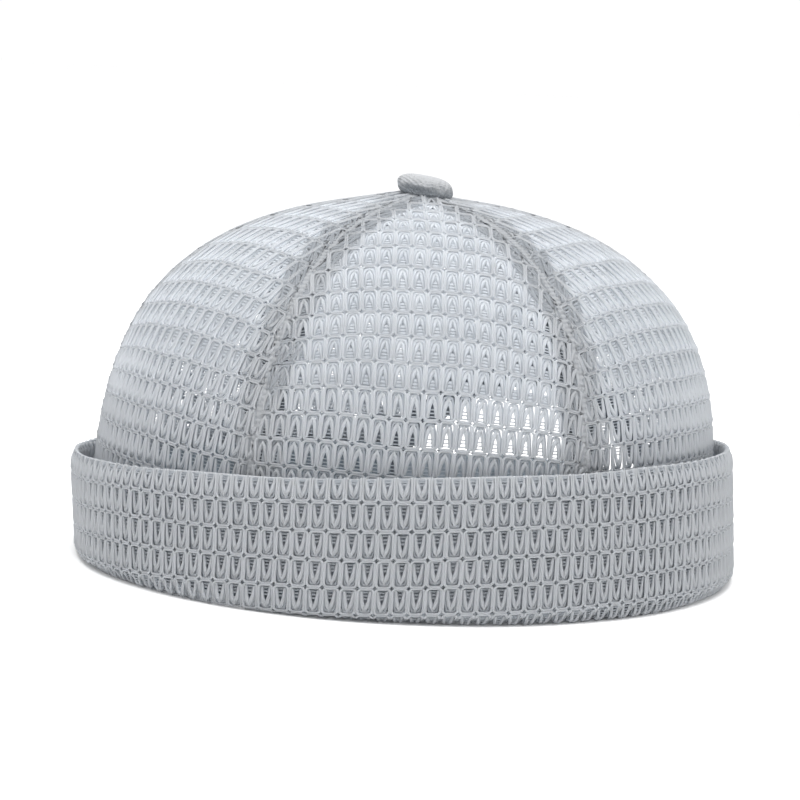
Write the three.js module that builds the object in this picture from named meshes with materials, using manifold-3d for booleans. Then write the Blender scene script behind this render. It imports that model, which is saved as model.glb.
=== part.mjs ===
// A brimless cap of open mesh cloth: six crown panels, a covered button and a turned-up cuff.
// Millimetres, +Z up, the front of the cap towards -Y. The rim stands on z = 0.
import * as THREE from "three";
import { mergeVertices } from "three/addons/utils/BufferGeometryUtils.js";
import Module from "manifold-3d";

const wasm = await Module();
wasm.setup();

// Driving dimensions: the crown, measured on the outer face of its cloth
const CROWN_LENGTH = 194.4;
const CROWN_WIDTH = 184.2;
const CROWN_TOP = 109.9;
const CROWN_FOOT = 3.5;
// How full the dome is: 1 and 1 give an ellipse, and less in the rise gives straighter walls
const PLAN_POWER = 0.97;
const RISE_POWER = 0.561;
// The soft crown stands a little off the middle of the cuff, so far towards this side of the cap
const SLIP_ANGLE = 116;
const FOOT_SLIP = -3;
const MIDDLE_SLIP = 0.9;

// Driving dimensions: cloth and gaps
const MESH_CLOTH = 1.2;
const TAPE_CLOTH = 0.9;
const BAND_CLOTH = 1.2;
const SEAM_GAP = 0.3;
// A tape lies this far under the cloth, which leaves room for the facets of both
const TAPE_GAP = 0.55;

// Driving dimensions: the cuff, its faces measured outwards from the crown
const CUFF_WALL = 3;
const CUFF_FLOOR = 3.2;
const CUFF_OUT_TOP = 6.2;
const CUFF_OUT_BOTTOM = 6.6;
// The cuff's top stands over to one side of its foot
const CUFF_LEAN = 2.2;
const CUFF_LEAN_ANGLE = -65;
const CUFF_CORNER = 3.4;
const CUFF_MEAN_HEIGHT = 35;
// The cuff was turned up unevenly: so much higher towards the front, and so much towards the right
const CUFF_MORE_AT_FRONT = 5.4;
const CUFF_MORE_AT_RIGHT = 4.7;
const CUFF_HIGHEST_ANGLE = 30;
const CUFF_END_ANGLE = 149;

// Driving dimensions: the arched opening at the back, as half an arch from its foot to its top
const ARCH_HALF_WIDTH = 47;
const ARCH_FOOT = 10;
const ARCH_TOP = 45.5;
const ARCH_FOOT_PULL = new THREE.Vector2(44, 24.5);
const ARCH_TOP_PULL = new THREE.Vector2(21.5, 45.5);
const ARCH_TAPE_WIDTH = 7;

// Driving dimensions: tapes, sweatband, strap and button
const SEAM_TAPE_WIDTH = 12;
const SEAM_TAPE_FOOT = 5;
const SWEATBAND_BOTTOM = 1.5;
const SWEATBAND_TOP = 22;
const SWEATBAND_END_ANGLE = 150;
const STRAP_OUT = 0.6;
const STRAP_CLOTH = 1.8;
const STRAP_BOTTOM = 3.8;
const STRAP_TOP = 19;
const STRAP_HALF_ANGLE = 37;
const KEEPER_LENGTH = 27;
const KEEPER_CLOTH = 1;
const BUTTON_DIAMETER = 16.6;
const BUTTON_HEIGHT = 5.4;
const BUTTON_SHANK_RADIUS = 2;
const SHANK_HEAD = 1;
// The button is sewn on a little askew, leaning over towards this side
const BUTTON_LEAN = 5;
const BUTTON_LEAN_ANGLE = 116;
// How far out its skirt and its full width stand, as shares of its radius, and its flat top's pulls
const BUTTON_SKIRT = 0.93;
const BUTTON_SIDE_PULLS = [new THREE.Vector2(1.08, 0.9), new THREE.Vector2(1.02, 3.6)];
const BUTTON_SHOULDER = new THREE.Vector2(0.72, 0.9);
const BUTTON_TOP_PULLS = [new THREE.Vector2(0.5, 1.05), new THREE.Vector2(0.3, 1)];
const BUTTON_MIDDLE = 0.96;
const BUTTON_UNDERSIDE = 0.2;
const BUTTON_HEAD_RADIUS = 4;
const PANEL_ANGLE = 60;
const PANEL_TIP_RADIUS = 3.2;
const TAPE_TIP_RADIUS = 4.15;

// How finely each piece is faceted
const PANEL_COLUMNS = 9;
const PANEL_ROWS = 14;
const TAPE_ROWS = 12;
const ARCH_STEPS = 28;
const CUFF_STEPS = 60;
const SWEATBAND_STEPS = 48;
const STRAP_STEPS = 14;
const KEEPER_STEPS = 4;
const BUTTON_SIDES = 28;
const BUTTON_CURVE_STEPS = 5;
const CUFF_CURVE_STEPS = 5;
// The small steps over which the crown's slope is taken, in degrees and in shares of the profile
const SLOPE_TURN = 0.5;
const SLOPE_SHARE = 0.004;
const PROFILE_DIVISIONS = 600;
const HALVINGS = 30;
// The block that the back opening is cut with starts this far behind the middle, in half lengths
const ARCH_BLOCK_START = 1.6;

const HALF_LENGTH = CROWN_LENGTH / 2;
const HALF_WIDTH = CROWN_WIDTH / 2;
const CROWN_RISE = CROWN_TOP - CROWN_FOOT;
const degrees = THREE.MathUtils.degToRad;

// The crown's profile: x is the share of the full width, y the height, from the foot to the top
class CrownProfile extends THREE.Curve {
  getPoint(share, target = new THREE.Vector2()) {
    const angle = (share * Math.PI) / 2;
    const width = Math.max(Math.cos(angle), 0) ** PLAN_POWER;
    return target.set(width * HALF_WIDTH, CROWN_FOOT + CROWN_RISE * Math.sin(angle) ** RISE_POWER);
  }
}
const profile = new CrownProfile();
profile.arcLengthDivisions = PROFILE_DIVISIONS;

// The share of the crown's full width at a height, the same profile read the other way round
function widthShare(height) {
  const rise = Math.max((height - CROWN_FOOT) / CROWN_RISE, 0);
  const cosine = Math.sqrt(Math.max(1 - rise ** (2 / RISE_POWER), 0));
  return cosine ** PLAN_POWER;
}

// How far along the profile a height or a radius is reached, found by halving
function profileShare(reached) {
  let low = 0;
  let high = 1;
  for (let i = 0; i < HALVINGS; i += 1) {
    const middle = (low + high) / 2;
    if (reached(profile.getPointAt(middle))) {
      high = middle;
    } else {
      low = middle;
    }
  }
  return high;
}

// A spot on a wall that follows the plan of the cap; angle 0 is the front and 90 the +X side
function planSpot(angle, outwards, height) {
  const turn = degrees(angle);
  const x = (HALF_WIDTH + outwards) * Math.sin(turn);
  const y = -(HALF_LENGTH + outwards) * Math.cos(turn);
  return new THREE.Vector3(x, y, height);
}

// How far off the middle of the cap the crown stands at a height
function slipAt(height) {
  const rise = height / CROWN_TOP;
  const slip = FOOT_SLIP * (1 - rise) + MIDDLE_SLIP * 4 * rise * (1 - rise);
  const turn = degrees(SLIP_ANGLE);
  return new THREE.Vector3(slip * Math.sin(turn), -slip * Math.cos(turn), 0);
}

// A spot that follows the plan at a distance from the crown's foot, as the crown stands
function besideCrown(angle, outwards, height) {
  return planSpot(angle, outwards, height).add(slipAt(height));
}

// A spot on the crown's outer face
function crownFace(angle, share) {
  const ring = profile.getPointAt(THREE.MathUtils.clamp(share, 0, 1));
  const turn = degrees(angle);
  const x = ring.x * Math.sin(turn);
  const y = -ring.x * (CROWN_LENGTH / CROWN_WIDTH) * Math.cos(turn);
  return new THREE.Vector3(x, y, ring.y).add(slipAt(ring.y));
}

// A spot at some depth inside the crown's outer face, square to it
function insideCrown(angle, share, depth) {
  const spot = crownFace(angle, share);
  const sideways = crownFace(angle + SLOPE_TURN, share).sub(crownFace(angle - SLOPE_TURN, share));
  const upwards = crownFace(angle, share + SLOPE_SHARE).sub(crownFace(angle, share - SLOPE_SHARE));
  const outwards = sideways.cross(upwards).normalize();
  return spot.addScaledVector(outwards, -depth);
}

// A spot on the back wall of the crown, given as seen from behind by its place across and its height
function backWallSpot(across, height, depth) {
  const share = widthShare(height);
  const slip = slipAt(height);
  const sine = (across - slip.x) / (HALF_WIDTH * share - depth);
  const y = (HALF_LENGTH * share - depth) * Math.sqrt(1 - sine * sine);
  return new THREE.Vector3(across, y + slip.y, height);
}

// A closed geometry whose every vertex is moved by a function of its own three coordinates
function bent(flat, place) {
  const geometry = flat.index ? flat : mergeVertices(flat);
  geometry.deleteAttribute("normal");
  geometry.deleteAttribute("uv");
  const spots = geometry.getAttribute("position");
  for (let i = 0; i < spots.count; i += 1) {
    const spot = place(spots.getX(i), spots.getY(i), spots.getZ(i));
    spots.setXYZ(i, spot.x, spot.y, spot.z);
  }
  return mergeVertices(geometry);
}

// A flat blank of cloth, bent into place; across, up and through each run from 0 to 1
function bentBlank(columns, rows, place) {
  const blank = new THREE.BoxGeometry(1, 1, 1, columns, rows, 1);
  return bent(blank, (x, y, z) => place(x + 0.5, y + 0.5, z + 0.5));
}

// A section drawn outwards and upwards, drawn along the plan of the cap from one angle to another
function sectionAlong(shape, steps, curveSegments, place) {
  const options = { depth: 1, steps, curveSegments, bevelEnabled: false };
  return bent(new THREE.ExtrudeGeometry(shape, options), place);
}

function toSolid(geometry) {
  const clean = mergeVertices(geometry);
  const vertProperties = new Float32Array(clean.getAttribute("position").array);
  const triVerts = new Uint32Array(clean.index.array);
  return new wasm.Manifold(new wasm.Mesh({ numProp: 3, vertProperties, triVerts }));
}

function fromSolid(solid) {
  const mesh = solid.getMesh();
  const geometry = new THREE.BufferGeometry();
  geometry.setAttribute("position", new THREE.BufferAttribute(mesh.vertProperties, 3));
  geometry.setIndex(new THREE.BufferAttribute(mesh.triVerts, 1));
  return geometry;
}

// Half the arch as a curve, on one side of the middle
function archSide(side) {
  return new THREE.CubicBezierCurve(
    new THREE.Vector2(side * ARCH_HALF_WIDTH, ARCH_FOOT),
    new THREE.Vector2(side * ARCH_FOOT_PULL.x, ARCH_FOOT_PULL.y),
    new THREE.Vector2(side * ARCH_TOP_PULL.x, ARCH_TOP_PULL.y),
    new THREE.Vector2(0, ARCH_TOP),
  );
}

// The block that the back opening is cut with, from below the cloth and from well behind it
function archBlock() {
  const shape = new THREE.Shape();
  shape.moveTo(-ARCH_HALF_WIDTH, -ARCH_FOOT);
  shape.lineTo(ARCH_HALF_WIDTH, -ARCH_FOOT);
  for (const spot of archSide(1).getSpacedPoints(ARCH_STEPS / 2)) {
    shape.lineTo(spot.x, spot.y);
  }
  for (const spot of archSide(-1).getSpacedPoints(ARCH_STEPS / 2).reverse().slice(1)) {
    shape.lineTo(spot.x, spot.y);
  }
  const block = new THREE.ExtrudeGeometry(shape, { depth: HALF_LENGTH, bevelEnabled: false });
  // Stood upright, and set across the back wall
  block.rotateX(Math.PI / 2);
  block.translate(0, HALF_LENGTH * ARCH_BLOCK_START, 0);
  block.deleteAttribute("normal");
  block.deleteAttribute("uv");
  return toSolid(block);
}

// One of the six panels of the crown, from its foot to its tip under the button
function crownPanel(startAngle) {
  const tip = profileShare((spot) => spot.x < PANEL_TIP_RADIUS);
  return bentBlank(PANEL_COLUMNS, PANEL_ROWS, (across, up, through) => {
    const share = up * tip;
    const seam = THREE.MathUtils.radToDeg(SEAM_GAP / 2 / profile.getPointAt(share).x);
    const angle = THREE.MathUtils.lerp(startAngle + seam, startAngle + PANEL_ANGLE - seam, across);
    return insideCrown(angle, share, MESH_CLOTH * (1 - through));
  });
}

// A tape over a seam on the inside, narrowed where the six tapes come together
function seamTape(angle, footHeight) {
  const tip = profileShare((spot) => spot.x < TAPE_TIP_RADIUS);
  const foot = profileShare((spot) => spot.y > footHeight);
  const depth = MESH_CLOTH + TAPE_GAP;
  return bentBlank(2, TAPE_ROWS, (across, up, through) => {
    const share = THREE.MathUtils.lerp(foot, tip, up);
    const radius = profile.getPointAt(share).x - MESH_CLOTH - TAPE_CLOTH;
    const room = Math.PI * radius / 3 - 2 * SEAM_GAP;
    const half = THREE.MathUtils.radToDeg(Math.min(SEAM_TAPE_WIDTH, room) / 2 / radius);
    const turn = THREE.MathUtils.lerp(angle - half, angle + half, across);
    return insideCrown(turn, share, depth + TAPE_CLOTH * (1 - through));
  });
}

// The tape that binds the arched opening, on the inside of the crown
function archTape() {
  const sides = [archSide(1), archSide(-1)];
  const depth = MESH_CLOTH + TAPE_GAP;
  return bentBlank(ARCH_STEPS, 1, (across, up, through) => {
    const onRight = across < 0.5;
    const along = onRight ? across * 2 : 2 - across * 2;
    const curve = sides[onRight ? 0 : 1];
    const spot = curve.getPointAt(along);
    const run = curve.getTangentAt(along);
    const side = onRight ? 1 : -1;
    spot.x += side * run.y * up * ARCH_TAPE_WIDTH;
    spot.y += -side * run.x * up * ARCH_TAPE_WIDTH;
    return backWallSpot(spot.x, spot.y, depth + TAPE_CLOTH * (1 - through));
  });
}

function cuffHeight(angle) {
  const turn = degrees(angle - CUFF_HIGHEST_ANGLE);
  return CUFF_MEAN_HEIGHT + CUFF_MORE_AT_FRONT * Math.cos(turn) + CUFF_MORE_AT_RIGHT * Math.sin(turn);
}

// How far the cuff's top stands out more than the rest at an angle
function cuffLean(angle) {
  return CUFF_LEAN * Math.cos(degrees(angle - CUFF_LEAN_ANGLE));
}

// How far out the crown's foot stands at an angle, which the cuff's floor reaches under
function footReach(angle) {
  return FOOT_SLIP * Math.cos(degrees(angle - SLIP_ANGLE));
}

// The cuff: cloth turned out under the crown's foot and up round it, doubled, with a soft top fold
function cuff() {
  const section = new THREE.Shape();
  const fold = CUFF_WALL / 2;
  const top = CUFF_MEAN_HEIGHT;
  section.moveTo(-MESH_CLOTH, 0);
  section.lineTo(CUFF_OUT_BOTTOM - CUFF_CORNER, 0);
  section.absarc(CUFF_OUT_BOTTOM - CUFF_CORNER, CUFF_CORNER, CUFF_CORNER, -Math.PI / 2, 0, false);
  section.absarc(CUFF_OUT_TOP - fold, top - fold, fold, 0, Math.PI, false);
  section.lineTo(CUFF_OUT_BOTTOM - CUFF_WALL, CUFF_FLOOR);
  section.lineTo(-MESH_CLOTH, CUFF_FLOOR);
  return sectionAlong(section, CUFF_STEPS, CUFF_CURVE_STEPS, (out, up, along) => {
    const angle = THREE.MathUtils.lerp(CUFF_END_ANGLE, -CUFF_END_ANGLE, along);
    const share = Math.max((up - CUFF_CORNER) / (top - CUFF_CORNER), 0);
    const height = up + share * (cuffHeight(angle) - top);
    const inner = out < 0 ? footReach(angle) : 0;
    return planSpot(angle, out + inner + share * cuffLean(angle), height);
  });
}

// A band with a plain section beside the crown: its inner face, its cloth, heights and ends
function bandBeside(inner, cloth, bottom, top, startAngle, endAngle, steps) {
  return bentBlank(steps, 1, (across, up, through) => {
    const angle = THREE.MathUtils.lerp(startAngle, endAngle, across);
    return besideCrown(angle, inner + cloth * through, THREE.MathUtils.lerp(bottom, top, up));
  });
}

// The loop that holds the two overlapping ends of the strap together
function strapKeeper() {
  const inner = new THREE.Vector2(STRAP_OUT - SEAM_GAP, STRAP_BOTTOM - SEAM_GAP);
  const outer = new THREE.Vector2(STRAP_OUT + STRAP_CLOTH + SEAM_GAP, STRAP_TOP + SEAM_GAP);
  const loop = new THREE.Shape();
  loop.moveTo(inner.x - KEEPER_CLOTH, inner.y - KEEPER_CLOTH);
  loop.lineTo(outer.x + KEEPER_CLOTH, inner.y - KEEPER_CLOTH);
  loop.lineTo(outer.x + KEEPER_CLOTH, outer.y + KEEPER_CLOTH);
  loop.lineTo(inner.x - KEEPER_CLOTH, outer.y + KEEPER_CLOTH);
  const hole = new THREE.Path();
  hole.moveTo(inner.x, inner.y);
  hole.lineTo(inner.x, outer.y);
  hole.lineTo(outer.x, outer.y);
  hole.lineTo(outer.x, inner.y);
  loop.holes.push(hole);
  const half = THREE.MathUtils.radToDeg(KEEPER_LENGTH / 2 / HALF_LENGTH);
  return sectionAlong(loop, KEEPER_STEPS, 1, (out, up, along) => {
    return besideCrown(THREE.MathUtils.lerp(180 + half, 180 - half, along), out, up);
  });
}

// The covered button: a flat dome on a shank that is headed over inside the crown
function button() {
  const radius = BUTTON_DIAMETER / 2;
  const inside = -MESH_CLOTH - TAPE_CLOTH - 2 * TAPE_GAP;
  const [lowPull, highPull] = BUTTON_SIDE_PULLS;
  const [outerPull, innerPull] = BUTTON_TOP_PULLS;
  const outline = new THREE.Path();
  outline.moveTo(0, inside - SHANK_HEAD);
  outline.lineTo(BUTTON_HEAD_RADIUS, inside - SHANK_HEAD);
  outline.lineTo(BUTTON_HEAD_RADIUS, inside);
  outline.lineTo(BUTTON_SHANK_RADIUS, inside);
  outline.lineTo(BUTTON_SHANK_RADIUS, BUTTON_UNDERSIDE);
  outline.lineTo(radius * BUTTON_SKIRT, -BUTTON_UNDERSIDE);
  outline.bezierCurveTo(
    radius * lowPull.x, lowPull.y,
    radius * highPull.x, highPull.y,
    radius * BUTTON_SHOULDER.x, BUTTON_HEIGHT * BUTTON_SHOULDER.y,
  );
  outline.bezierCurveTo(
    radius * outerPull.x, BUTTON_HEIGHT * outerPull.y,
    radius * innerPull.x, BUTTON_HEIGHT * innerPull.y,
    0, BUTTON_HEIGHT * BUTTON_MIDDLE,
  );
  const turned = new THREE.LatheGeometry(outline.getPoints(BUTTON_CURVE_STEPS), BUTTON_SIDES);
  // The lathe turns about Y, and the button stands along Z
  turned.rotateX(Math.PI / 2);
  return bent(turned, (x, y, z) => {
    // Only the covered dome leans, lifted so that its low side clears the crown
    const side = degrees(BUTTON_LEAN_ANGLE);
    const over = x * Math.sin(side) - y * Math.cos(side);
    const raised = z < -BUTTON_UNDERSIDE ? z : z + (radius - over) * Math.sin(degrees(BUTTON_LEAN));
    return new THREE.Vector3(x, y, raised);
  });
}

const MESH_COLOUR = 0xc3c9ce;
const CUFF_COLOUR = 0xb3bcc3;
const TAPE_COLOUR = 0x7f8a92;
const BAND_COLOUR = 0x8c979f;

// A named piece of cloth in its own colour
function piece(name, geometry, colour) {
  const material = new THREE.MeshStandardMaterial({ color: colour, roughness: 0.9, metalness: 0 });
  const mesh = new THREE.Mesh(geometry, material);
  mesh.name = name;
  return mesh;
}

const cap = new THREE.Group();

// The panels, each named by the wearer's side, with the angle of the seam that it starts at
const PANELS = [
  { name: "crown_panel_front_left", start: 0 },
  { name: "crown_panel_side_left", start: 60 },
  { name: "crown_panel_back_left", start: 120, arched: true },
  { name: "crown_panel_back_right", start: 180, arched: true },
  { name: "crown_panel_side_right", start: 240 },
  { name: "crown_panel_front_right", start: 300 },
];
for (const { name, start, arched } of PANELS) {
  const whole = crownPanel(start);
  const geometry = arched ? fromSolid(toSolid(whole).subtract(archBlock())) : whole;
  cap.add(piece(name, geometry, MESH_COLOUR));
}

// The tapes over the seams; the back one stops above the arch
const ABOVE_ARCH = ARCH_TOP + ARCH_TAPE_WIDTH + TAPE_GAP + SEAM_GAP;
const SEAM_TAPES = [
  { name: "seam_tape_front", angle: 0, foot: SEAM_TAPE_FOOT },
  { name: "seam_tape_front_left", angle: 60, foot: SEAM_TAPE_FOOT },
  { name: "seam_tape_back_left", angle: 120, foot: SEAM_TAPE_FOOT },
  { name: "seam_tape_back", angle: 180, foot: ABOVE_ARCH },
  { name: "seam_tape_back_right", angle: 240, foot: SEAM_TAPE_FOOT },
  { name: "seam_tape_front_right", angle: 300, foot: SEAM_TAPE_FOOT },
];
for (const { name, angle, foot } of SEAM_TAPES) {
  cap.add(piece(name, seamTape(angle, foot), TAPE_COLOUR));
}

cap.add(piece("opening_tape", archTape(), TAPE_COLOUR));
cap.add(piece("cuff", cuff(), CUFF_COLOUR));

const sweatbandOuter = -(MESH_CLOTH + TAPE_CLOTH + 2 * TAPE_GAP);
cap.add(piece("sweatband", bandBeside(
  sweatbandOuter - BAND_CLOTH,
  BAND_CLOTH,
  SWEATBAND_BOTTOM,
  SWEATBAND_TOP,
  -SWEATBAND_END_ANGLE,
  SWEATBAND_END_ANGLE,
  SWEATBAND_STEPS,
), BAND_COLOUR));

cap.add(piece("back_strap", bandBeside(
  STRAP_OUT,
  STRAP_CLOTH,
  STRAP_BOTTOM,
  STRAP_TOP,
  180 - STRAP_HALF_ANGLE,
  180 + STRAP_HALF_ANGLE,
  STRAP_STEPS,
), MESH_COLOUR));
cap.add(piece("strap_keeper", strapKeeper(), CUFF_COLOUR));

const topButton = piece("top_button", button(), MESH_COLOUR);
topButton.position.z = CROWN_TOP + SEAM_GAP;
cap.add(topButton);

// The origin is the middle of the box that the cap fills, under it
const middle = new THREE.Box3().setFromObject(cap, true).getCenter(new THREE.Vector3());
cap.position.set(-middle.x, -middle.y, 0);

export default cap;
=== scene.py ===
"""The looks of a brimless cap of open mesh cloth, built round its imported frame."""
import math

import bmesh
import bpy
import numpy as np
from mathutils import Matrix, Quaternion, Vector


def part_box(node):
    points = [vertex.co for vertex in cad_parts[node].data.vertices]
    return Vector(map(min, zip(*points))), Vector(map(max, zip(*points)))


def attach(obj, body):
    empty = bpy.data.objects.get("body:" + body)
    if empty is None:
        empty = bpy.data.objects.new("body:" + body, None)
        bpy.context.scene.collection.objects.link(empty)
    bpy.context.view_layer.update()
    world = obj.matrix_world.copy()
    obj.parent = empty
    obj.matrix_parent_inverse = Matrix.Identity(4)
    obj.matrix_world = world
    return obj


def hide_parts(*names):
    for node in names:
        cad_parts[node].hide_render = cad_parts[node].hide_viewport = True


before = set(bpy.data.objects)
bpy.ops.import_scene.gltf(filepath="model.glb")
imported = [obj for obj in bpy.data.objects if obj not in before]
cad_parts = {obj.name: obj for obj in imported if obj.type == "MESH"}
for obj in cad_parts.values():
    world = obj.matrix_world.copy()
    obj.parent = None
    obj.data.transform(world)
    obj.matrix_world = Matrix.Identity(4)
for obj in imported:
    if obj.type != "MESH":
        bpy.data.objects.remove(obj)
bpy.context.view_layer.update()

bl_info = {
    "name": "Mesh cap",
    "version": (1, 0, 0),
    "blender": (4, 5, 0),
    "location": "3D View > Sidebar > Cap",
    "description": "Builds the knitted panels, cuff, bands, strap and button of a brimless cap",
    "category": "Add Mesh",
}

MM = 0.001
SEED = 11

# The crown's outer face, as the frame has it
PLAN_POWER = 0.97
RISE_POWER = 0.561
SLIP_TURN = math.radians(116)
FOOT_SLIP = -3
MIDDLE_SLIP = 0.9
TOP_MOUND = 3.2
MOUND_REACH = 11
PROFILE_POINTS = 4000
PANEL_TURN = math.radians(60)

# How a panel's flat cloth is laid on the crown, in STATIONS rows of SPREAD spots
STATIONS = 160
SPREAD = 61
HALVINGS = 30
YARN_DEPTH = 0.5
FOLD_RADIUS = 0.2
FOLD_ROOM = 0.4
SEAM_ALLOWANCE = 7.5
TIP_RADIUS = 4.2
FOOT_SQUEEZE = 0.3
LOWEST_STITCH = -2
DRAWN_UP = 1.046
STRETCH_START = 91
STRETCH = 0.25

# The arched opening at the back, half of it, from its foot to its top
ARCH_HALF_WIDTH = 47
ARCH = ((47, 10), (44, 24.5), (21.5, 45.5), (0, 45.5))
ARCH_POINTS = 240
ARCH_FOOT_POINTS = 39
ARCH_HEM = 5
ARCH_TAPE_WIDTH = 7

# The cuff's section: how far out from the crown and how high its middle layer runs
CUFF_MEAN_HEIGHT = 35
CUFF_MORE_AT_FRONT = 5.4
CUFF_MORE_AT_RIGHT = 4.7
CUFF_HIGHEST = math.radians(30)
CUFF_END = math.radians(149)
CUFF_LEAN = 2.2
CUFF_LEAN_TURN = math.radians(-65)
CUFF_FOLD_OUT = 4.7
CUFF_FOLD_DROP = 1.5
CUFF_FOLD_RADIUS = 1.0
CUFF_SPREAD = 0.4
CUFF_CORNER_UP = 3.4
CUFF_CORNER_RADIUS = 2.9
CUFF_FLOOR_RUN = 4.4
CUFF_INNER_FOOT = 3.8

# The ring of a stitch: its thickness at the ends, how far it is pressed into the next one, and its vertices
END_YARN = 0.75
YARN_PRESS = 0.17
END_PRESS = 0.12
RING_VERTICES = 8 * 4

# One side of the tongue: across, up, out and thickness, and of the web that is sunk behind it: across, up
# and thickness
TONGUE = [(-1.26, -3.0, -0.25, 1.0), (-0.9, -0.1, -0.14, 1.1), (-0.58, 1.2, -0.1, 1.3), (0, 2.4, -0.1, 1.7)]
WEB = [(-1.5, 1.0, 0.55), (-1.05, 2.8, 0.8), (0, 3.0, 1.3)]
WEB_FOOT = (-1.6, 0.8)
SUNK_DEPTH = -0.35
SUNK_PRESS = 0.35

# The thin strands across the gap of a stitch: half of each one's length and how far up the stitch it lies
RUNGS = ((1.1, -2.7), (0.95, -1.75), (0.8, -0.8))
RUNG_DEPTH = -0.5

# A window drawn shut has thicker rungs, a wider web and a flat tongue
OPEN_RUNG = 0.3
SHUT_RUNG = 1.3
SHUT_PRESS = 0.3
SHUT_WIDER = 0.4

# Where the windows go from open to drawn shut: heights on the crown, how far from a seam, and near the top
SHUT_HEIGHTS = (58, 68)
SHUT_FROM_SEAM = (8, 14)
SHUT_TOP = (84, 92)
CUFF_SHUT = 0.25

# How far the inner yarns of a stitch wander, and the cloth itself, across, up and out
STITCH_SHIFT = (0.09, 0.12, 0.05)
CLOTH_SHIFT = (0.35, 0.4, 0.25)
CLOTH_SHIFT_SPAN = 40

# The bands: depth from the crown's outer face, or outwards from its plan, and the height of their ribs
TAPE_DEPTH = 2.35
TAPE_CLOTH = 0.5
TAPE_RIDGE = 0.14
SWEATBAND_OUT = -3.55
SWEATBAND_END = math.radians(150)
SWEATBAND_CLOTH = 0.9
SWEATBAND_RIDGE = 0.2
SWEATBAND_ROOM = 0.2


def length(name, description, value):
    """A size that a user may change, given here in millimetres."""
    return bpy.props.FloatProperty(
        name=name, description=description, default=value * MM, unit="LENGTH", subtype="DISTANCE", precision=5
    )


def colour(name, description, value):
    """A colour that a user may change."""
    return bpy.props.FloatVectorProperty(
        name=name, description=description, default=value, subtype="COLOR", size=3, min=0, max=1
    )


class CapSizes(bpy.types.PropertyGroup):
    """Sizes of the cap that a user may change."""

    crown_length: length("Crown length", "Front to back over the outer face of the cloth", 194.4)
    crown_width: length("Crown width", "Side to side over the outer face of the cloth", 184.2)
    crown_top: length("Crown top", "Height of the crown over the surface it stands on", 109.9)
    crown_foot: length("Crown foot", "Height at which the panels leave the cuff", 3.5)
    stitch_width: length("Stitch width", "From one column of the mesh to the next", 4.64)
    stitch_height: length("Stitch height", "From one row of the mesh to the next", 7.65)
    yarn_width: length("Yarn width", "Thickness of the yarn down the side of a stitch", 0.9)
    tape_width: length("Tape width", "Width of the tapes over the seams", 12)
    rib_width: length("Rib width", "From one rib of a band to the next", 1.22)
    button_lean: bpy.props.FloatProperty(
        name="Button lean", description="How far the button leans to one side",
        default=math.radians(7.5), unit="ROTATION", subtype="ANGLE",
    )


class CapColours(bpy.types.PropertyGroup):
    """Colours of the cap's cloths, with the painted shade of the yarn and the button."""

    yarn: colour("Mesh yarn", "The pale yarn of the open mesh", (0.82, 0.836, 0.856))
    # Painted shade: the yarn is darkened towards this colour where it lies deep in the cloth, for the shade
    # in the stitches' recesses
    yarn_recess_painted_shade: colour("Mesh yarn, sunk", "The same yarn deep in the cloth", (0.52, 0.55, 0.585))
    glow: colour("Mesh yarn, lit through", "The light that comes through the same yarn", (0.73, 0.75, 0.775))
    tape: colour("Tape", "The woven tapes over the seams and round the opening", (0.18, 0.198, 0.22))
    band: colour("Ribbed band", "The sweatband inside the rim", (0.16, 0.18, 0.205))
    plain: colour("Plain cloth", "The strap at the back and its keeper", (0.31, 0.345, 0.39))
    button: colour("Button top", "The mesh pulled tight over the top of the button", (0.40, 0.41, 0.425))
    # Painted shade: the button's side, dent and pit are darkened towards this colour, for the shade that
    # falls there
    button_side_painted_shade: colour("Button side", "The same mesh where it gapes down the side", (0.28, 0.305, 0.335))
    thread: colour("Sewing thread", "The stitches of the strap and bands", (0.42, 0.46, 0.51))


def unit(vectors):
    """The same directions, each one long."""
    return vectors / np.maximum(np.linalg.norm(vectors, axis=-1, keepdims=True), 1e-12)


def runs(points, axis=0):
    """How far along a line of points each one lies."""
    steps = np.linalg.norm(np.diff(points, axis=axis), axis=-1)
    start = np.zeros_like(np.take(steps, [0], axis=axis))
    return np.concatenate([start, np.cumsum(steps, axis=axis)], axis=axis)


def plan_middle():
    """The middle of the cap's plan in millimetres, which the button sits over."""
    low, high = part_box("top_button")
    return (low + high) / 2 / MM


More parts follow.
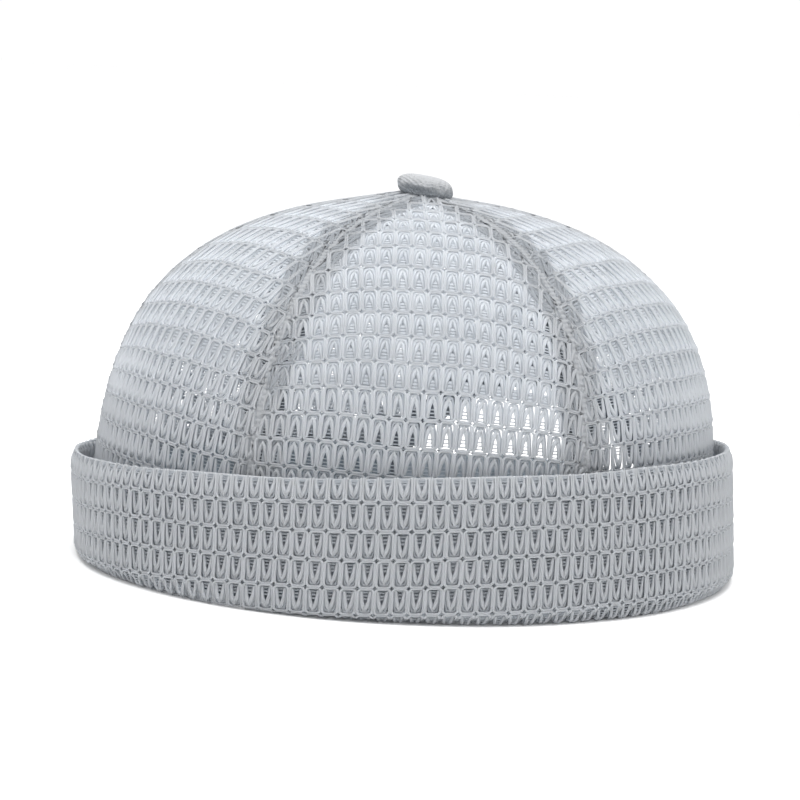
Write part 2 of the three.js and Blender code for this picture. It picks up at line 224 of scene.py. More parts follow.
class Crown:
    """The outer face of the crown, in millimetres. Turn 0 is the front and a quarter turn the +X side."""

    def __init__(self, sizes):
        self.half_width = sizes.crown_width / MM / 2
        self.half_length = sizes.crown_length / MM / 2
        self.foot = sizes.crown_foot / MM
        self.top = sizes.crown_top / MM
        angle = np.linspace(0, 1, PROFILE_POINTS) ** 2 * math.pi / 2
        self.share = np.maximum(np.cos(angle), 0) ** PLAN_POWER
        self.height = self.foot + (self.top - self.foot) * np.sin(angle) ** RISE_POWER
        self.run = runs(np.stack([self.share * self.half_width, self.height], axis=-1))
        self.middle = plan_middle()

    def standing(self, x, y, height):
        """Spots given from the crown's own middle line, which wanders off the cap's middle."""
        rise = height / self.top
        slip = FOOT_SLIP * (1 - rise) + MIDDLE_SLIP * 4 * rise * (1 - rise)
        x = x + slip * math.sin(SLIP_TURN)
        y = y - slip * math.cos(SLIP_TURN)
        over = x * math.sin(SLIP_TURN) - y * math.cos(SLIP_TURN)
        mound = np.exp(-(x ** 2 + y ** 2) / MOUND_REACH ** 2) * np.maximum(1 - over / MOUND_REACH, 0) / 2
        spots = x + self.middle.x, y + self.middle.y, height + TOP_MOUND * mound
        return np.stack(np.broadcast_arrays(*spots), axis=-1)

    def face(self, turn, run):
        """Spots on the outer face at a turn round the crown and a run up from its foot."""
        share = np.interp(run, self.run, self.share)
        height = np.interp(run, self.run, self.height)
        x = self.half_width * share * np.sin(turn)
        return self.standing(x, -self.half_length * share * np.cos(turn), height)

    def run_to_height(self, height):
        """The run up the crown at which it has come to a height."""
        return np.interp(height, self.height, self.run)

    def run_to_radius(self, radius):
        """The run up the crown at which it has narrowed to a radius."""
        return np.interp(-radius, -self.share * self.half_width, self.run)

    def radius(self, run):
        """How far from the middle the crown's face is, from side to side."""
        return np.interp(run, self.run, self.share) * self.half_width

    def outwards(self, turn, run):
        """The way out of the crown, square to its face."""
        small_turn = 0.004
        small_run = 0.4
        sideways = self.face(turn + small_turn, run) - self.face(turn - small_turn, run)
        upwards = self.face(turn, run + small_run) - self.face(turn, np.maximum(run - small_run, 0))
        return unit(np.cross(sideways, upwards))

    def back_wall(self, across, height, depth):
        """Spots on the back wall, given as seen from behind, at a depth inside the outer face."""
        rise = np.clip((height - self.foot) / (self.top - self.foot), 0, 1)
        share = np.sqrt(1 - rise ** (2 / RISE_POWER)) ** PLAN_POWER
        axis = self.standing(0.0, 0.0, height)
        sine = np.clip((across - axis[..., 0]) / (self.half_width * share - depth), -0.99, 0.99)
        y = (self.half_length * share - depth) * np.sqrt(1 - sine ** 2)
        return np.stack([across, y + axis[..., 1], height], axis=-1)

    def plan(self, turn, out, height):
        """Spots on a wall that follows the plan of the cap."""
        x = (self.half_width + out) * np.sin(turn) + self.middle.x
        y = -(self.half_length + out) * np.cos(turn) + self.middle.y
        return np.stack(np.broadcast_arrays(x, y, height), axis=-1)

    def beside(self, turn, out, height):
        """Spots beside the crown's foot, as the crown stands."""
        x = (self.half_width + out) * np.sin(turn)
        return self.standing(x, -(self.half_length + out) * np.cos(turn), height)


class Arch:
    """The edge of the opening at the back, seen from behind: across and height in millimetres."""

    def __init__(self):
        t = np.linspace(0, 1, ARCH_POINTS)[:, None]
        a, b, c, d = (np.array(spot, float) for spot in ARCH)
        side = (1 - t) ** 3 * a + 3 * (1 - t) ** 2 * t * b + 3 * (1 - t) * t ** 2 * c + t ** 3 * d
        up = np.linspace(-5, ARCH[0][1], ARCH_FOOT_POINTS, endpoint=False)
        foot = np.stack([np.full(ARCH_FOOT_POINTS, ARCH_HALF_WIDTH), up], axis=-1)
        half = np.concatenate([foot, side])
        other = half[::-1][1:] * (-1, 1)
        self.points = np.concatenate([half, other]) + (plan_middle().x, 0)
        along = unit(np.gradient(self.points, axis=0))
        # The opening lies to the left of the line's run, and the cloth to its right
        self.to_cloth = np.stack([along[:, 1], -along[:, 0]], axis=-1)

    def nearest(self, spots):
        """For each spot, the place in the line nearest to it and how far on the cloth's side it lies."""
        place = np.empty(len(spots), int)
        for start in range(0, len(spots), 4000):
            part = spots[start:start + 4000]
            gaps = ((part[:, None] - self.points[None]) ** 2).sum(-1)
            place[start:start + 4000] = gaps.argmin(1)
        beyond = ((spots - self.points[place]) * self.to_cloth[place]).sum(-1)
        return place, beyond


class PanelCloth:
    """Lays the flat cloth of one panel on the crown: across, up and out in millimetres."""

    def __init__(self, crown, start, arch=None):
        self.crown = crown
        self.arch = arch
        turns = np.linspace(start, start + PANEL_TURN, SPREAD)
        middle = SPREAD // 2
        run = np.linspace(0, crown.run_to_radius(TIP_RADIUS), STATIONS)
        up = runs(crown.face(turns[middle], run))
        self.up = np.linspace(0, up[-1], STATIONS)
        run = np.interp(self.up, up, run)
        line = crown.face(turns[middle], run)
        slope = unit(np.gradient(line, axis=0))
        low = np.zeros((STATIONS, SPREAD))
        high = np.full((STATIONS, SPREAD), crown.run[-1])
        # A row of stitches lies in the plane square to the panel's middle line
        for _ in range(HALVINGS):
            guess = (low + high) / 2
            ahead = ((crown.face(turns, guess) - line[:, None]) * slope[:, None]).sum(-1) > 0
            high = np.where(ahead, guess, high)
            low = np.where(ahead, low, guess)
        spots = crown.face(turns, high)
        normals = crown.outwards(turns, high)
        across = runs(spots, axis=1)
        across -= across[:, middle:middle + 1]
        self.left = -across[:, 0]
        self.right = across[:, -1]
        shares = np.linspace(-1, 1, SPREAD)
        self.grid = np.empty((STATIONS, SPREAD, 6))
        for k in range(STATIONS):
            wanted = np.where(shares > 0, shares * self.right[k], shares * self.left[k])
            for axis in range(3):
                self.grid[k, :, axis] = np.interp(wanted, across[k], spots[k, :, axis])
                self.grid[k, :, axis + 3] = np.interp(wanted, across[k], normals[k, :, axis])

    def half_width(self, across, up):
        """How far the panel reaches from its middle line, on the side that the spot is on."""
        return np.where(across > 0, np.interp(up, self.up, self.right), np.interp(up, self.up, self.left))

    def stretched(self, up):
        """How far up the crown a run up the knit comes, drawn taller over the shoulder."""
        up = DRAWN_UP * up
        return up + STRETCH * np.maximum(up - STRETCH_START, 0)

    def face(self, across, up):
        """The outer face and the way out of it at spots of the flat cloth."""
        row = np.clip(up / self.up[1], 0, STATIONS - 1.001)
        share = np.clip(across / self.half_width(across, up), -1, 1)
        column = (share + 1) / 2 * (SPREAD - 1.001)
        i = row.astype(int)
        j = column.astype(int)
        a = (row - i)[:, None]
        b = (column - j)[:, None]
        low = self.grid[i, j] * (1 - b) + self.grid[i, j + 1] * b
        high = self.grid[i + 1, j] * (1 - b) + self.grid[i + 1, j + 1] * b
        found = low * (1 - a) + high * a
        return found[:, :3], unit(found[:, 3:])

    def sideways(self, across, up):
        """The way along a row of stitches, away from the middle line."""
        small = 0.3
        near = np.sign(across) * np.maximum(np.abs(across) - small, 0)
        return unit(self.face(across, up)[0] - self.face(near, up)[0])

    def shut(self, across, up):
        """How far the windows of stitches are drawn shut: they gape low down and over the tapes."""
        up = self.stretched(up)
        height = np.interp(up, self.crown.run, self.crown.height)
        from_seam = self.half_width(across, up) - np.abs(across)
        low = np.interp(height, SHUT_HEIGHTS, (0, 1)) * np.interp(from_seam, SHUT_FROM_SEAM, (0, 1))
        return np.maximum(low, np.interp(height, SHUT_TOP, (0, 1)))

    def keeps(self, across, up):
        """Which stitches, given by their middles, belong to the panel."""
        up = self.stretched(up)
        half = self.half_width(across, up)
        allowance = np.minimum(SEAM_ALLOWANCE, half * 0.5)
        kept = (np.abs(across) < half - FOLD_ROOM + allowance) & (up < self.up[-1]) & (up > LOWEST_STITCH)
        if self.arch:
            spots = self.face(across, up)[0]
            beyond = self.arch.nearest(spots[:, [0, 2]])[1]
            in_hem = np.abs(across) > half - FOLD_ROOM
            kept &= beyond > np.where(in_hem, 2, -ARCH_HEM)
        return kept

    def place(self, flat):
        """Where flat cloth goes: over the crown's face, and turned back inside at the panel's edges."""
        across = flat[:, 0]
        up = self.stretched(flat[:, 1])
        up = np.where(up < FOOT_SQUEEZE, FOOT_SQUEEZE + (up - FOOT_SQUEEZE) * 0.1, up)
        out = flat[:, 2]
        side = np.sign(across)
        edge = self.half_width(across, up) - FOLD_ROOM
        over = np.abs(across) - edge
        angle = np.clip(over / FOLD_RADIUS, 0, math.pi)
        back = np.maximum(over - math.pi * FOLD_RADIUS, 0)
        held = side * np.where(over > 0, edge - back, np.abs(across))
        spots, outwards = self.face(held, up)
        sideways = self.sideways(held, up)
        reach = (FOLD_RADIUS + out) * np.sin(angle)
        rise = (FOLD_RADIUS + out) * np.cos(angle) - FOLD_RADIUS - YARN_DEPTH
        placed = spots + sideways * reach[:, None] + outwards * rise[:, None]
        if self.arch:
            self.turn_in_at_arch(placed, spots, rise)
        return placed

    def turn_in_at_arch(self, placed, spots, rise):
        """Bends the cloth inwards round the edge of the opening."""
        place, beyond = self.arch.nearest(spots[:, [0, 2]])
        out = rise + YARN_DEPTH
        over = FOLD_RADIUS - beyond
        bent = over > 0
        angle = np.clip(over / FOLD_RADIUS, 0, math.pi)
        back = np.maximum(over - math.pi * FOLD_RADIUS, 0)
        swing = np.maximum(FOLD_RADIUS + out, 0.1)
        inset = FOLD_RADIUS - swing * np.sin(angle) + back
        depth = YARN_DEPTH + FOLD_RADIUS - swing * np.cos(angle)
        edge = self.arch.points[place] + self.arch.to_cloth[place] * inset[:, None]
        placed[bent] = self.crown.back_wall(edge[bent, 0], edge[bent, 1], depth[bent])


class CuffCloth:
    """Lays flat cloth along the cuff: across from the front, up from the crest of its top fold, and out."""

    def __init__(self, crown):
        self.crown = crown
        self.turn = np.linspace(-CUFF_END, CUFF_END, 2401)
        mid_out = CUFF_FOLD_OUT + CUFF_FOLD_RADIUS
        along = runs(crown.plan(self.turn, mid_out, 0.0))
        self.along = along - along[len(along) // 2]

    def height(self, turn):
        """How high the cuff stands at a turn round the cap."""
        angle = turn - CUFF_HIGHEST
        return CUFF_MEAN_HEIGHT + CUFF_MORE_AT_FRONT * np.cos(angle) + CUFF_MORE_AT_RIGHT * np.sin(angle)

    def lean(self, turn):
        """How much further out than the rest its top stands at a turn round the cap."""
        return CUFF_LEAN * np.cos(turn - CUFF_LEAN_TURN)

    def spans(self, turn):
        """The lengths of the section's straight outer and inner faces."""
        height = self.height(turn)
        spread = CUFF_SPREAD - self.lean(turn)
        outer = np.hypot(spread, height - CUFF_FOLD_DROP - CUFF_CORNER_UP)
        inner = np.hypot(spread, height - CUFF_FOLD_DROP - CUFF_INNER_FOOT)
        return outer, inner

    def ends(self, turn):
        """How far down from the crest the cloth runs, outside and inside."""
        outer, inner = self.spans(turn)
        quarter = CUFF_FOLD_RADIUS * math.pi / 2
        corner = CUFF_CORNER_RADIUS * math.pi / 2
        floor = CUFF_FLOOR_RUN - FOOT_SLIP * np.cos(turn - SLIP_TURN)
        return quarter + outer + corner + floor, quarter + inner

    def section(self, up, turn, out):
        """How far out and how high a spot of the cloth lies, by its run up from the crest and out."""
        outer, inner = self.spans(turn)
        height = self.height(turn)
        lean = self.lean(turn)
        spread = CUFF_SPREAD - lean
        quarter = CUFF_FOLD_RADIUS * math.pi / 2
        down = np.abs(up)
        outside = up < 0
        bend = np.clip(down / CUFF_FOLD_RADIUS, 0, math.pi / 2)
        side = np.where(outside, 1, -1)
        span = np.where(outside, outer, inner)
        foot = np.where(outside, CUFF_CORNER_UP, CUFF_INNER_FOOT)
        drop = height - CUFF_FOLD_DROP - foot
        straight = np.clip(down - quarter, 0, span)
        corner_run = np.where(outside, down - quarter - outer, 0)
        corner = np.clip(corner_run / CUFF_CORNER_RADIUS, 0, math.pi / 2)
        floor = np.maximum(corner_run - CUFF_CORNER_RADIUS * math.pi / 2, 0)
        x = CUFF_FOLD_OUT + lean + side * CUFF_FOLD_RADIUS * np.sin(bend) + spread * straight / span
        x += CUFF_CORNER_RADIUS * (np.cos(corner) - 1) - floor
        z = height - CUFF_FOLD_DROP + CUFF_FOLD_RADIUS * np.cos(bend) - drop * straight / span
        z -= CUFF_CORNER_RADIUS * np.sin(corner)
        slope = np.arctan2(spread, drop)
        facing = np.where(straight > 0, side * math.pi / 2 - slope, side * bend)
        facing = np.where(corner > 0, math.pi / 2 + corner, facing)
        return x + out * np.sin(facing), z + out * np.cos(facing)

    def turn_at(self, across):
        """The turn round the cap at a run along the cuff from the front."""
        return np.interp(across, self.along, self.turn)

    def shut(self, across, up):
        """How far the windows of stitches are drawn shut."""
        return np.full(len(across), CUFF_SHUT)

    def keeps(self, across, up):
        """Which stitches, given by their middles, belong to the cuff."""
        outer_end, inner_end = self.ends(self.turn_at(across))
        return (np.abs(across) < self.along[-1] - 1) & (up > 0.5 - outer_end) & (up < inner_end - 0.5)

    def place(self, flat):
        """Where flat cloth goes on the cuff; what reaches past an end is gathered there."""
        across = np.clip(flat[:, 0], self.along[0], self.along[-1])
        across = across + (flat[:, 0] - across) * 0.1
        turn = self.turn_at(across)
        outer_end, inner_end = self.ends(turn)
        up = np.clip(flat[:, 1], -outer_end, inner_end)
        out, z = self.section(up, turn, flat[:, 2])
        return self.crown.plan(turn, out, z)


def mesh_of(piece):
    """The mesh of a curve, or of a piece with its modifiers applied; the piece itself is removed."""
    bpy.context.scene.collection.objects.link(piece)
    found = piece.evaluated_get(bpy.context.evaluated_depsgraph_get())
    mesh = bpy.data.meshes.new_from_object(found)
    bpy.data.objects.remove(piece)
    return mesh


def yarn(spots, closed):
    """One length of yarn as a mesh: each spot is across, up and out, with the yarn's thickness there."""
    curve = bpy.data.curves.new("yarn", "CURVE")
    curve.dimensions = "3D"
    curve.bevel_depth = 0.5
    curve.bevel_resolution = 0
    curve.twist_mode = "Z_UP"
    line = curve.splines.new("POLY")
    line.points.add(len(spots) - 1)
    for point, (*spot, thick) in zip(line.points, spots):
        point.co = (*spot, 1)
        point.radius = thick
    line.use_cyclic_u = closed
    return mesh_of(bpy.data.objects.new("yarn", curve))


def mirrored(side):
    """A strand from one side of it: its spots again on the other side, but for one on the middle line."""
    return side + [(-across, *rest) for across, *rest in reversed(side) if across]


def stitch(sizes, upside_down, shut):
    """One stitch: a ring of yarn with a tongue looped through it, and the yarns that lie sunk behind both.

    In a shut one they fill the window, flat and level. Its vertices come in the same order.
    """
    wide = sizes.stitch_width / MM
    high = sizes.stitch_height / MM
    thick = sizes.yarn_width / MM
    x = (wide - thick) / 2 + YARN_PRESS
    y = (high - END_YARN) / 2 + END_PRESS
    corner = [(x * 0.7, y, -0.02, END_YARN), (x, y * 0.82, 0.05, thick)]
    ring = mirrored(corner + [(a, -b, c, d) for a, b, c, d in reversed(corner)])
    bar = mirrored([(-wide / 2, -high / 2, SUNK_DEPTH, 0.3), (0, -high / 2, SUNK_DEPTH, 1.2)])
    wider = SHUT_WIDER if shut else 0
    web = [(WEB_FOOT[0], -high / 2, WEB_FOOT[1]), *WEB]
    web = mirrored([(a, b, SUNK_DEPTH, width + wider) for a, b, width in web])
    rung = SHUT_RUNG if shut else OPEN_RUNG
    rungs = [mirrored([(-a, b, RUNG_DEPTH, rung)]) for a, b in RUNGS]
    press = SHUT_PRESS if shut else 1
    joined = bmesh.new()
    pressed = ((ring, 1), (mirrored(TONGUE), press), (bar, SUNK_PRESS), (web, SUNK_PRESS))
    for strand, share in (*pressed, *((rung, press) for rung in rungs)):
        mesh = yarn(strand, strand is ring)
        flatten(mesh, SUNK_DEPTH, share)
        joined.from_mesh(mesh)
        bpy.data.meshes.remove(mesh)
    if upside_down:
        bmesh.ops.rotate(joined, verts=joined.verts, matrix=Quaternion((0, 0, 1), math.pi).to_matrix())
    bmesh.ops.recalc_face_normals(joined, faces=joined.faces)
    cell = bpy.data.meshes.new("stitch")
    joined.to_mesh(cell)
    joined.free()
    return cell


def flatten(mesh, level, share):
    """Presses a mesh towards a level, to a share of its thickness."""
    spots = read_spots(mesh)
    spots[:, 2] = level + (spots[:, 2] - level) * share
    mesh.vertices.foreach_set("co", spots.astype(np.float32).ravel())


def tiled(cell, columns, rows, wide, high):
    """Copies of a cell in columns and rows, as one mesh."""
    piece = bpy.data.objects.new("tiles", cell)
    for count, offset in ((columns, (wide, 0, 0)), (rows, (0, high, 0))):
        array = piece.modifiers.new("copies", "ARRAY")
        array.count = count
        array.use_relative_offset = False
        array.use_constant_offset = True
        array.constant_offset_displace = offset
    return mesh_of(piece)


def read_spots(mesh):
    """A mesh's vertices as rows of three numbers."""
    flat = np.empty(len(mesh.vertices) * 3, np.float32)
    mesh.vertices.foreach_get("co", flat)
    return flat.reshape(-1, 3).astype(float)


def write_spots(mesh, spots):
    """Puts a mesh's vertices where the spots are, given in millimetres."""
    mesh.vertices.foreach_set("co", (spots * MM).astype(np.float32).ravel())
    mesh.update()


def keep_flat_place(mesh, flat):
    """Stores where each vertex lay in the flat cloth, which the materials' patterns follow; the yarn and the
    button read their painted shade from its third number.
    """
    attribute = mesh.attributes.new("cloth", "FLOAT_VECTOR", "POINT")
    attribute.data.foreach_set("vector", flat.astype(np.float32).ravel())


def finished(name, mesh, material, slot, *nodes):
    """A piece of the cap from a mesh that is in place: smooth, in its material, riding on the cap."""
    piece = bpy.data.objects.new(name, mesh)
    bpy.context.scene.collection.objects.link(piece)
    mesh.materials.clear()
    mesh.materials.append(material)
    mesh.polygons.foreach_set("use_smooth", np.ones(len(mesh.polygons), bool))
    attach(piece, "root")
    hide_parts(*nodes)
    return piece


def waver(flat, rng):
    """A slow unevenness over the cloth, the same for spots that lie together."""
    moved = np.zeros_like(flat)
    for axis in range(3):
        for _ in range(3):
            turn = rng.uniform(0, math.tau)
            phase = rng.uniform(0, math.tau)
            wave = math.tau / (CLOTH_SHIFT_SPAN * rng.uniform(0.7, 1.5))
            along = flat[:, 0] * math.cos(turn) + flat[:, 1] * math.sin(turn)
            moved[:, axis] += CLOTH_SHIFT[axis] / 3 * np.sin(along * wave + phase)
    return moved


def knitted(name, sizes, cloth, cells, grid, material, nodes, seed):
    """One piece of knitted mesh: stitches in columns and rows, those off the cloth taken out, and laid."""
    cell, shut_cell = cells
    wide = sizes.stitch_width / MM
    high = sizes.stitch_height / MM
    first_across, first_up, columns, rows = grid
    mesh = tiled(cell, columns, rows, wide, high)
    index = np.arange(columns * rows)
    across = first_across + index % columns * wide
    up = first_up + index // columns * high
    kept = cloth.keeps(across, up)
    count = len(cell.vertices)
    sheet = bmesh.new()
    sheet.from_mesh(mesh)
    sheet.verts.ensure_lookup_table()
    loose = [sheet.verts[i] for i in np.flatnonzero(~np.repeat(kept, count))]
    bmesh.ops.delete(sheet, geom=loose, context="VERTS")
    sheet.to_mesh(mesh)
    sheet.free()
    rng = np.random.default_rng(seed)
    flat = read_spots(mesh)
    own = index[kept].repeat(count)
    inner = np.tile(np.arange(count) >= RING_VERTICES, kept.sum())
    shifts = rng.normal(0, 1, (columns * rows, 3)) * STITCH_SHIFT
    flat[inner] += shifts[own[inner]]
    shut = cloth.shut(across[kept], up[kept]).repeat(count)
    change = read_spots(shut_cell) - read_spots(cell)
    flat += np.tile(change, (kept.sum(), 1)) * shut[:, None]
    flat += (first_across, first_up, 0)
    keep_flat_place(mesh, flat)
    write_spots(mesh, cloth.place(flat + waver(flat, rng)))
    return finished(name, mesh, material, "mesh_cloth", *nodes)


class Term:
    """A shader value in Python sums: each operator adds its Math node."""

    def __init__(self, shader, socket):
        self.shader = shader
        self.socket = socket

    def maths(self, operation, *values):
        """The result of a Math node."""
        return self.shader.node("ShaderNodeMath", {"operation": operation}, dict(enumerate(values)))

    def __add__(self, other):
        return self.maths("ADD", self, other)

    def __radd__(self, other):
        return self.maths("ADD", other, self)

    def __sub__(self, other):
        return self.maths("SUBTRACT", self, other)

    def __rsub__(self, other):
        return self.maths("SUBTRACT", other, self)

    def __mul__(self, other):
        return self.maths("MULTIPLY", self, other)

    def __rmul__(self, other):
        return self.maths("MULTIPLY", other, self)

    def sine(self):
        """The sine of the value."""
        return self.maths("SINE", self)

    def clamped(self):
        """The value kept from 0 to 1."""
        return self.shader.node("ShaderNodeClamp", {}, {"Value": self})


class Shader:
    """A new material's node tree."""

    def __init__(self, name):
        self.material = bpy.data.materials.new(name)
        self.material.use_nodes = True
        self.tree = self.material.node_tree
        self.tree.nodes.clear()

    def node(self, kind, settings, inputs, output=0):
        """Adds a node: its settings first, then its sockets' values or links."""
        made = self.tree.nodes.new(kind)
        for key, value in settings.items():
            setattr(made, key, value)
        for key, value in inputs.items():
            if isinstance(value, Term):
                self.tree.links.new(value.socket, made.inputs[key])
            else:
                made.inputs[key].default_value = value
        return Term(self, made.outputs[output]) if made.outputs else None

    def mixed(self, share, first, second):
        """A colour between two others."""
        settings = {"data_type": "RGBA"}
        return self.node("ShaderNodeMix", settings, {0: share, 6: first, 7: second}, 2)

    def noise(self, vector, scale, detail):
        """Soft random patches about one half."""
        return self.node("ShaderNodeTexNoise", {}, {"Vector": vector, "Scale": scale, "Detail": detail})

    def attribute(self, name, output):
        """A value that the mesh carries for each vertex."""
        return self.node("ShaderNodeAttribute", {"attribute_name": name}, {}, output)

    def object_place(self):
        """The place on the piece, in metres."""
        return self.node("ShaderNodeTexCoord", {}, {}, "Object")

    def split(self, vector, axis):
        """One of a vector's three numbers."""
        return self.node("ShaderNodeSeparateXYZ", {}, {"Vector": vector}, axis)

    def bump(self, height, strength, distance):
        """Small relief for a Normal socket."""
        inputs = {"Height": height, "Strength": strength, "Distance": distance}
        return self.node("ShaderNodeBump", {}, inputs)

    def finish(self, inputs, passes=0.0, glow=None):
        """The cloth's surface and the output; loose cloth lets a share of the light through, in a tint."""
        surface = self.node("ShaderNodeBsdfPrincipled", {}, inputs)
        if passes:
            light = {"Color": opaque(glow), "Normal": inputs["Normal"]}
            through = self.node("ShaderNodeBsdfTranslucent", {}, light)
            surface = self.node("ShaderNodeMixShader", {}, {0: passes, 1: surface, 2: through})
        self.node("ShaderNodeOutputMaterial", {}, {"Surface": surface})
        return self.material


def opaque(tint):
    """A tint as the four numbers that a colour socket takes."""
    return (*tint, 1)


def patchy(noise, swing):
    """Soft patches that lighten and darken by half a swing."""
    return (noise - 0.5) * swing


def shaded(shader, shade, tint, dark, light):
    """A colour between a lighter and a darker one of the same tint, given as shares of it."""
    return shader.mixed(shade, opaque([min(light * c, 1) for c in tint]), opaque([dark * c for c in tint]))


# Patterns in the yarn: noises as scale and detail, its plies, and how deep in the cloth its painted shade
# starts and how fast it grows
YARN_FIBRE = (6.0, 3.0)
YARN_CLOUD = (45.0, 2.0)
PLY_TURNS = 14
PLY_SLANT = 0.9
PLY_WANDER = 4
SUNK_START = 0.15
SUNK_RATE = 2.5
SUNK_SHADE = 0.9

# Patterns in the woven cloths, their cross threads, the net of the button, and the level below which the
# button's painted shade starts
WEAVE_FIBRE = (5.0, 3.0)
WEAVE_CLOUD = (60.0, 2.0)
CROSS_THREADS = 17
BUTTON_FIBRE = (0.9, 4.0)
BUTTON_NET = 2.2
BUTTON_PAINTED_SHADE_BELOW = 0.66

# The height in metres of the relief that fibres make
FINE_RELIEF = 0.00012
BUTTON_RELIEF = 0.0006


def yarn_material(name, tint, recess_painted_shade_tint, glow, passes):
    """Pale matt yarn: twisted plies, short fibres and cloudy dye, with painted shade where it is sunk in the
    cloth.
    """
    shader = Shader(name)
    cloth = shader.attribute("cloth", "Vector")
    place = shader.object_place()
    across = shader.split(cloth, "X")
    up = shader.split(cloth, "Y")
    out = shader.split(cloth, "Z")
    fibre = shader.noise(cloth, *YARN_FIBRE)
    cloud = shader.noise(place, *YARN_CLOUD)
    twist = ((across + up * PLY_SLANT) * PLY_TURNS + fibre * PLY_WANDER).sine()
    # Painted shade: the deeper the yarn lies in the cloth, the darker it is coloured; the fibre and cloud
    # patches are tone that differs at random
    sunk = (SUNK_START - out * SUNK_RATE).clamped()
    shade = (sunk * SUNK_SHADE + patchy(fibre, 0.35) + patchy(cloud, 0.25)).clamped()
    base = shader.mixed(shade, opaque(tint), opaque(recess_painted_shade_tint))
    relief = twist * 0.35 + fibre
    return shader.finish({
        "Base Color": base,
        "Roughness": 0.9,
        "Sheen Weight": 0.15,
        "Sheen Roughness": 0.6,
        "Normal": shader.bump(relief, 0.5, FINE_RELIEF),
    }, passes, glow)


def ribbed_material(name, tint, rib_scale):
    """Woven cloth with ribs: fine cross threads between them and a little unevenness in the dye."""
    shader = Shader(name)
    cloth = shader.attribute("cloth", "Vector")
    across = shader.split(cloth, "X")
    up = shader.split(cloth, "Y")
    fibre = shader.noise(cloth, *WEAVE_FIBRE)
    cloud = shader.noise(shader.object_place(), *WEAVE_CLOUD)
    rib = (across * rib_scale).sine()
    thread = (up * CROSS_THREADS + fibre * 2).sine()
    shade = (0.5 - rib * 0.35 + patchy(fibre, 0.5) + patchy(cloud, 0.3)).clamped()
    base = shaded(shader, shade, tint, 0.62, 1.25)
    return shader.finish({
        "Base Color": base,
        "Roughness": 0.88,
        "Sheen Weight": 0.1,
        "Normal": shader.bump(thread * 0.4 + fibre, 0.5, FINE_RELIEF),
    })


def woven_material(name, tint, pitch, depth):
    """Close plain cloth: threads over and under each other at a small pitch."""
    shader = Shader(name)
    cloth = shader.attribute("cloth", "Vector")
    across = shader.split(cloth, "X")
    up = shader.split(cloth, "Y")
    fibre = shader.noise(cloth, *WEAVE_FIBRE)
    cloud = shader.noise(shader.object_place(), *WEAVE_CLOUD)
    wave = math.tau / pitch
    weave = (across * wave + fibre).sine() * (up * wave + fibre).sine()
    shade = (0.5 - weave * 0.3 + patchy(fibre, 0.4) + patchy(cloud, 0.3)).clamped()
    base = shaded(shader, shade, tint, 0.72, 1.15)
    return shader.finish({
        "Base Color": base,
        "Roughness": 0.9,
        "Sheen Weight": 0.1,
        "Normal": shader.bump(weave * 0.6 + fibre, 0.6, depth),
    })


def button_material(name, tint, side_painted_shade_tint):
    """The mesh pulled tight over the button, with painted shade: pale on top, darker down its side and in its
    dent and pit.
    """
    shader = Shader(name)
    cloth = shader.attribute("cloth", "Vector")
    across = shader.split(cloth, "X")
    up = shader.split(cloth, "Y")
    rise = shader.split(cloth, "Z")
    fibre = shader.noise(cloth, *BUTTON_FIBRE)
    net = (across * BUTTON_NET + fibre * 5).sine() * (up * BUTTON_NET + fibre * 5).sine()
    # Painted shade: the cloth's third number holds how lit each spot is taken to be, and a lower value means
    # darker
    shade = ((BUTTON_PAINTED_SHADE_BELOW - rise) * 1.5 - net * 0.2 + patchy(fibre, 1.4)).clamped()
    base = shader.mixed(shade, opaque(tint), opaque(side_painted_shade_tint))
    return shader.finish({
        "Base Color": base,
        "Roughness": 0.9,
        "Sheen Weight": 0.1,
        "Normal": shader.bump(net * 0.5 + fibre * 1.5, 0.8, BUTTON_RELIEF),
    })


def material_once(name, make, *values):
    """A material that several pieces share, made the first time it is asked for."""
    return bpy.data.materials.get(name) or make(name, *values)


def cap_yarn():
    """The yarn of the mesh, which lets light through."""
    colours = bpy.context.scene.cap_colours
    return material_once("mesh_yarn", yarn_material, colours.yarn, colours.yarn_recess_painted_shade, colours.glow, 0.65)


def sewing_thread():
    """The thread of the topstitching, with painted shade at 0.8 of its tint where it lies low."""
    tint = bpy.context.scene.cap_colours.thread
    return material_once("sewing_thread", yarn_material, tint, [0.8 * c for c in tint], tint, 0.0)


def cap_tape():
    """The tapes' weave: their ribs are in the mesh, so the material adds none."""
    return material_once("woven_tape", ribbed_material, bpy.context.scene.cap_colours.tape, 0.0)


# Panels by the wearer's side: the turn each starts at, the shift of its middle column and first row,
# whether its knit is cut upside down, and whether the opening cuts it
PANELS = (
    ("crown_panel_front_left", 0, (1.6, -0.4), False, False),
    ("crown_panel_side_left", 60, (0, 1.0), True, False),
    ("crown_panel_back_left", 120, (0, -0.4), False, True),
    ("crown_panel_back_right", 180, (0, -0.4), True, True),
    ("crown_panel_side_right", 240, (0, -0.4), False, False),
    ("crown_panel_front_right", 300, (0, 2.2), True, False),
)
PANEL_COLUMNS = 29

# The edges of two panels pressed together in a seam: how wide, how deep under the knit, and their ridges
SEAM_WIDTH = 2.4
SEAM_DEPTH = 0.5
SEAM_CLOTH = 0.3
SEAM_RIDGE = 0.12
SEAM_PITCH = 1.6
# How much lower the seam's stored depth lies than its ridges: it moves no yarn, it only darkens the seam with
# the yarn's painted shade
SEAM_PAINTED_SHADE_DROP = 0.06


